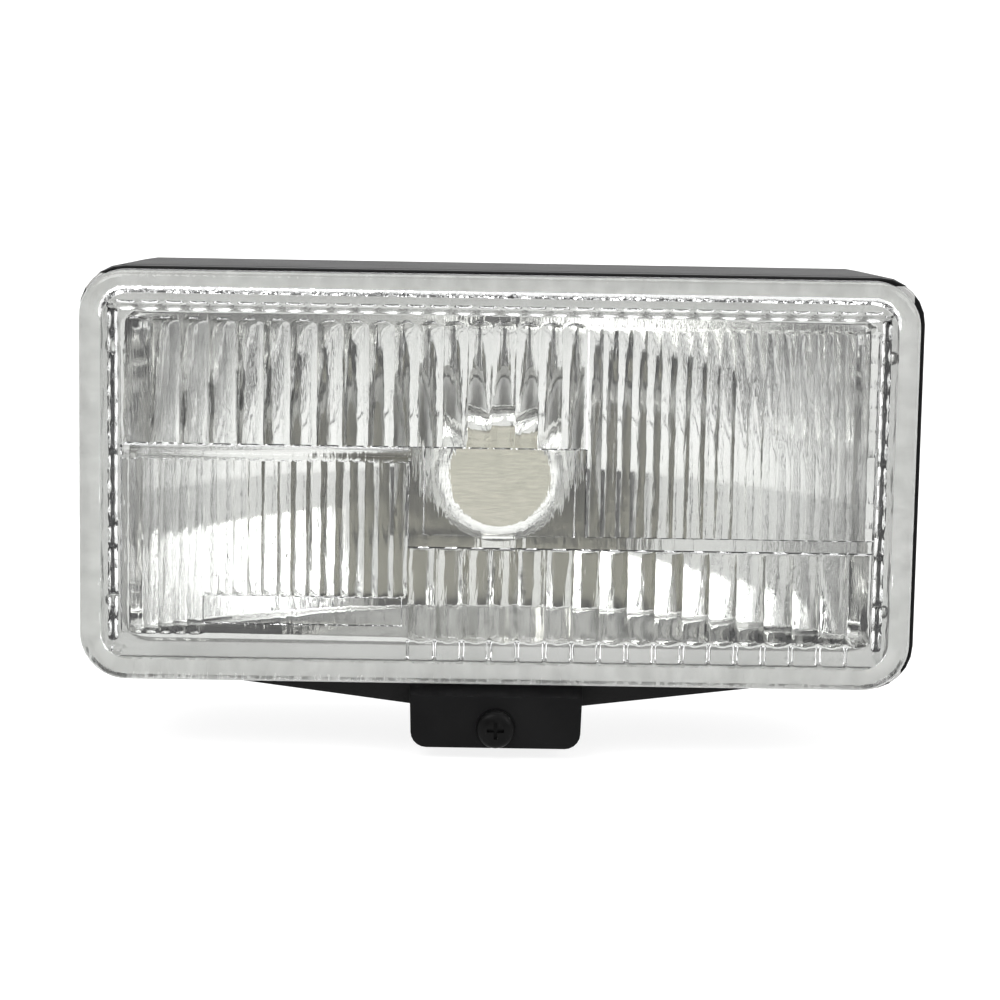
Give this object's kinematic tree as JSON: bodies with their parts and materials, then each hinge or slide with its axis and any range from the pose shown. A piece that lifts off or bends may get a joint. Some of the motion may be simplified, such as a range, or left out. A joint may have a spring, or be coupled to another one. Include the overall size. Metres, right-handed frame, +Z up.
{
  "type": "fog light",
  "caption": "Rectangular halogen fog light: fluted glass lens in a black frame, bowl reflector with shielded bulb, tapered black housing and a tilting steel U bracket.",
  "frame": {"origin": "centre of the mounting bolt hole in the bottom face of the bracket", "axes": "the lamp shines along -Y, +X is to the right of someone facing the lens, +Z is up"},
  "size_m": [0.183, 0.0691, 0.1069],
  "materials": {
    "black_plastic": "satin moulded black plastic",
    "rubber": "matte black rubber",
    "black_steel": "black coated steel",
    "zinc_steel": "zinc plated steel",
    "satin_steel": "satin bright steel",
    "spring_steel": "drawn spring wire",
    "mirror": "bright aluminised",
    "glass": "clear pressed glass",
    "brass": "plain brass",
    "tungsten": "drawn wire",
    "red_wire": "insulated wire"
  },
  "bodies": {
    "mount_bracket": {"mounting_bracket": "black_steel", "pivot_screw_left": "zinc_steel", "pivot_screw_right": "zinc_steel", "pivot_washer_left": "zinc_steel", "pivot_washer_right": "zinc_steel"},
    "lamp_housing": {"rear_housing": "black_plastic", "pivot_insert_left": "brass", "pivot_insert_right": "brass", "captive_nut": "zinc_steel", "cable_grommet": "rubber"},
    "optic_unit": {"lens_glass": "glass", "lens_seal": "rubber", "lens_frame": "black_plastic", "housing_seal": "rubber", "reflector": "mirror", "reflector_screw_1": "zinc_steel", "reflector_screw_2": "zinc_steel", "reflector_screw_3": "zinc_steel", "reflector_screw_4": "zinc_steel", "bulb_holder": "zinc_steel", "bulb_flange": "zinc_steel", "bulb_capsule": "glass", "bulb_filament": "tungsten", "bulb_lead": "red_wire", "lead_terminal": "brass", "bulb_shield": "satin_steel", "shield_rivet": "zinc_steel", "clip_bracket": "zinc_steel", "clip_screw": "zinc_steel", "bulb_clip": "spring_steel", "earth_terminal": "brass"},
    "screw_slide": {"screw_retainer": "zinc_steel"},
    "screw": {"retaining_screw": "black_steel"}
  },
  "joints": [
    {"name": "aim_tilt", "type": "hinge", "parent": "mount_bracket", "child": "lamp_housing", "pos_m": [0, 0, 0.01], "axis": [-1, 0, 0], "range_deg": [-4, 12]},
    {"name": "optic_swing", "type": "hinge", "parent": "lamp_housing", "child": "optic_unit", "pos_m": [0, -0.023, 0.1079], "axis": [-1, 0, 0], "range_deg": [0, 65]},
    {"name": "screw_travel", "type": "slide", "parent": "optic_unit", "child": "screw_slide", "axis": [0, -1, 0], "range_m": [0, 0.003]},
    {"name": "screw_turn", "type": "hinge", "parent": "screw_slide", "child": "screw", "pos_m": [0, -0.0308, 0.0067], "axis": [0, -1, 0], "range_deg": [0, 1545]}
  ],
  "couplings": [
    {"joint": "screw_turn", "follows": "screw_travel", "rad_per_m": 8976}
  ]
}
